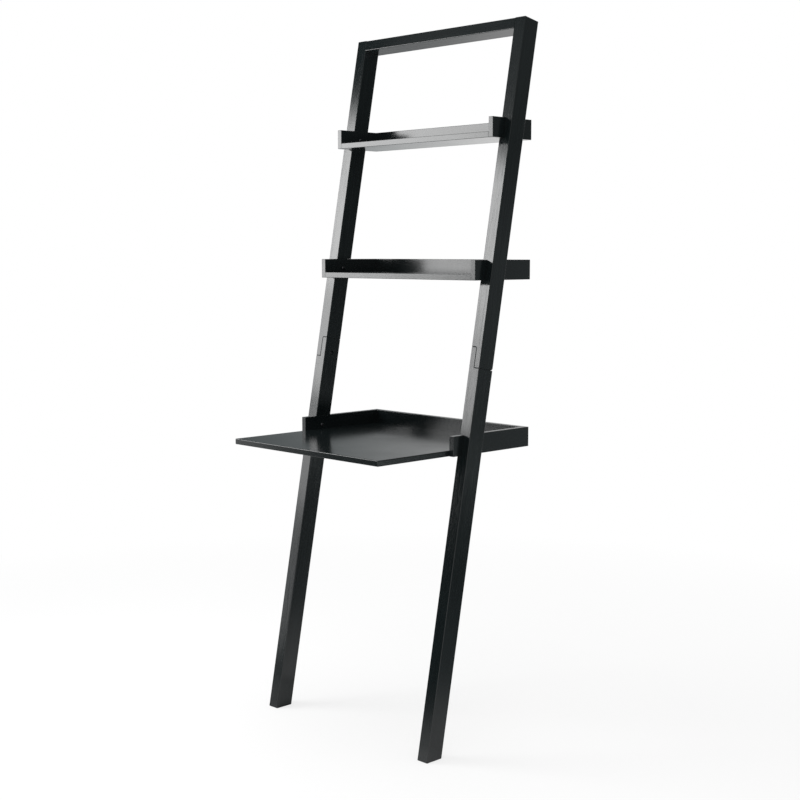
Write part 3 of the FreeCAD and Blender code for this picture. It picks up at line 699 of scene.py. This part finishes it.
def metal(name, colour, rubbed_colour, shows, roughness, spread):
    """A plated or blackened metal whose skin varies and wears through at its edges."""
    made, tree, where, piece = open_material(name)
    patches = {"Vector": where, "Scale": PATCH_SCALE, "Detail": 5.0, "Roughness": 0.6}
    patches = noise(tree, patches)
    worn = use_group(tree, worn_edges, Vector=where, Radius=METAL_EDGE)["Worn"]
    shade = maths(tree, "MULTIPLY", between(tree, patches, SHADE_FROM, SHADE_TO), shows)
    tone = mixed(tree, maths(tree, "MAXIMUM", shade, worn), colour, rubbed_colour)
    rough = between(tree, patches, SHEEN_FROM, SHEEN_TO, roughness, roughness + spread)
    bump = {"Height": patches, "Strength": METAL_STRENGTH, "Distance": METAL_RELIEF}
    bump = place(tree, "ShaderNodeBump", bump)
    skin = {"Base Color": tone, "Metallic": 1.0, "Roughness": rough, "Normal": bump.outputs[0]}
    skin = place(tree, "ShaderNodeBsdfPrincipled", skin)
    place(tree, "ShaderNodeOutputMaterial", {"Surface": skin.outputs[0]})
    return made


steel = (STEEL_BLACK, STEEL_BRIGHT, STEEL_SHOWS, STEEL_ROUGHNESS, STEEL_SPREAD)
zinc = (ZINC_PALE, ZINC_DARK, ZINC_SHOWS, ZINC_ROUGHNESS, ZINC_SPREAD)
bolt_steel = metal("blackened steel", *steel)
insert_zinc = metal("zinc plate", *zinc)
print(bolt_steel.name, "|", insert_zinc.name)

# %% Bare beech
BEECH_PALE = (0.66, 0.47, 0.30, 1)
BEECH_DARK = (0.44, 0.27, 0.15, 1)
BEECH_LINES = 0.4
BEECH_SMOOTHEST = 0.55
BEECH_ROUGHEST = 0.68
BEECH_RELIEF = 0.0003
BEECH_STRENGTH = 0.4


def bare_beech():
    """Unpainted dowel wood with its grain along the desk's width."""
    made, tree, where, piece = open_material("bare beech")
    turned = place(tree, "ShaderNodeMapping", {"Vector": where, "Rotation": ALONG_WIDTH}).outputs[0]
    grain = use_group(tree, wood_grain, Vector=turned, Piece=piece)
    lines = maths(tree, "MULTIPLY", grain["Lines"], BEECH_LINES)
    tone = mixed(tree, maths(tree, "MAXIMUM", lines, grain["Pores"]), BEECH_PALE, BEECH_DARK)
    rough = between(tree, grain["Lines"], 0.0, 1.0, BEECH_SMOOTHEST, BEECH_ROUGHEST)
    bump = {"Height": grain["Height"], "Strength": BEECH_STRENGTH, "Distance": BEECH_RELIEF}
    bump = place(tree, "ShaderNodeBump", bump)
    wood = {"Base Color": tone, "Roughness": rough, "Normal": bump.outputs[0]}
    wood = place(tree, "ShaderNodeBsdfPrincipled", wood)
    place(tree, "ShaderNodeOutputMaterial", {"Surface": wood.outputs[0]})
    return made


dowel_beech = bare_beech()
print(dowel_beech.name)

# %% [markdown]
# ## Give every piece its finish
# A piece's name says what it is, so the end of the name picks the finish. A list of all the names
# would do as well, but it is longer to read and easier to get wrong. The pieces keep the shapes
# they were loaded with: only what is in their material slots changes.

# %% Assign the finishes
FINISHES = {
    "_rail": rail_paint,
    "_crossbar": crossbar_paint,
    "_shelf_board": shelf_paint,
    "desk_board": desk_paint,
    "_back": back_paint,
    "_side": side_paint,
    "_bolts": bolt_steel,
    "_inserts": insert_zinc,
    "_dowels": dowel_beech,
}

for name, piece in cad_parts.items():
    finish = next(made for ending, made in FINISHES.items() if name.endswith(ending))
    piece.data.materials.clear()
    piece.data.materials.append(finish)
    print(name, "->", finish.name)
